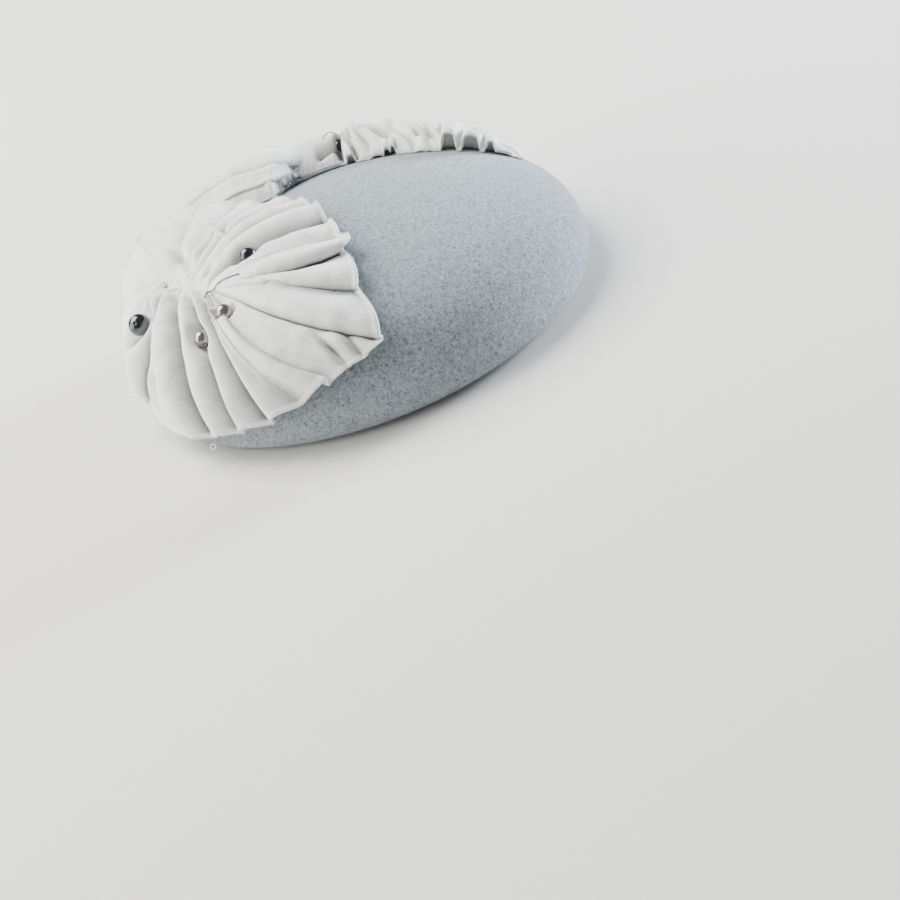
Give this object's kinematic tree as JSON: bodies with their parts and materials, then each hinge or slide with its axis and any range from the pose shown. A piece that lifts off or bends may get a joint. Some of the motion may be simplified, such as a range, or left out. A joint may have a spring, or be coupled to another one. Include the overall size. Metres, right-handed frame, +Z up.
{
  "type": "button hat",
  "caption": "Small round moulded felt hat with a rolled-in rim, trimmed with gathered velvet folds and round beads.",
  "frame": {"origin": "bottom centre of the hat's box, on the plane that its rim rests on", "axes": "+Z up out of the crown's top, -Y to the hat's front, +X to the side that the fan of folds spills down"},
  "size_m": [0.164, 0.1686, 0.0536],
  "materials": {
    "felt": "pale blue-grey wool felt",
    "velvet": "light silver grey velvet",
    "dark_bead": "glossy dark pearl",
    "silver_bead": "glossy silver pearl"
  },
  "bodies": {
    "root": {"felt_crown": "felt", "velvet_fan": "velvet", "velvet_puff": "velvet", "velvet_ruffle": "velvet", "dark_bead_top": "dark_bead", "dark_bead_front": "dark_bead", "dark_bead_gather": "dark_bead", "silver_bead_upper": "silver_bead", "silver_bead_lower": "silver_bead"}
  },
  "joints": []
}
